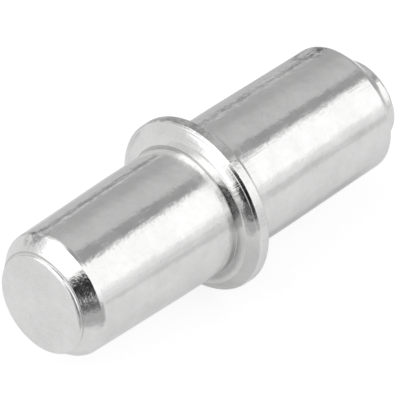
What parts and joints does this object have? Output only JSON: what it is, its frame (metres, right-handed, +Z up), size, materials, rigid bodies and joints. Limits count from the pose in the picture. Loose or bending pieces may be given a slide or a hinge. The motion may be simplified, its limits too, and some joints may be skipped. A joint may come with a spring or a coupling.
{
  "type": "shelf support pin",
  "caption": "Solid plated metal shelf pin: a round pin with a bevelled collar round its middle, slightly tapered halves and bevelled ends with flat pads.",
  "frame": {"origin": "on the pin's axis, in the plane of the collar face that stops against the cabinet panel", "axes": "+X along the pin's axis from the panel half to the shelf half, +Z up as the pin sits in use with its axis level"},
  "size_m": [0.016, 0.0064, 0.0064],
  "materials": {
    "plated_metal": "bright neutral plating on solid metal, smooth with a fine uneven grain and a few hair scratches, flat pads on the ends a little duller"
  },
  "bodies": {
    "root": {"shelf_pin": "plated_metal"}
  },
  "joints": []
}
